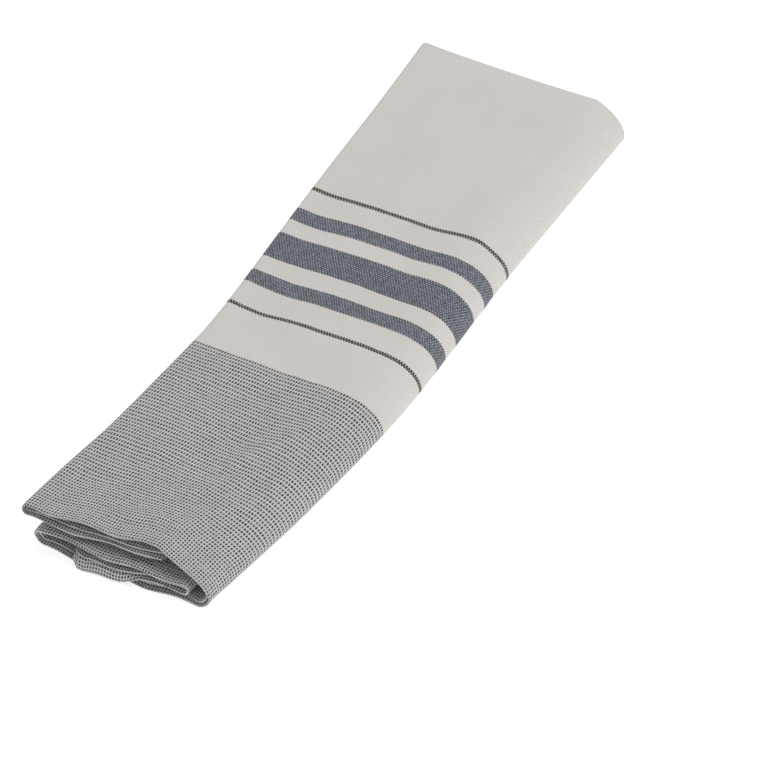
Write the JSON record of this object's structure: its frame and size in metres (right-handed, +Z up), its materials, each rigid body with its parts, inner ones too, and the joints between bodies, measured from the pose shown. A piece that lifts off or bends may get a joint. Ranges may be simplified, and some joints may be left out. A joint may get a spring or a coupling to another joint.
{
  "type": "tea towel",
  "caption": "Woven cotton tea towel, doubled over and folded up lengthwise into a long flat stack with one round side, lying flat.",
  "frame": {"origin": "on the surface that the towel lies on, under the centre of its box", "axes": "+Z up; +Y along the folded towel, from its hems to its far fold; +X towards its round side"},
  "size_m": [0.1156, 0.3834, 0.0238],
  "materials": {
    "woven_cotton": "plain weave cotton in cream, with blue-grey weft bands, thin dark lines and a dark and light dotted ground at both ends, matt"
  },
  "bodies": {
    "root": {"tea_towel": "woven_cotton"}
  },
  "joints": []
}
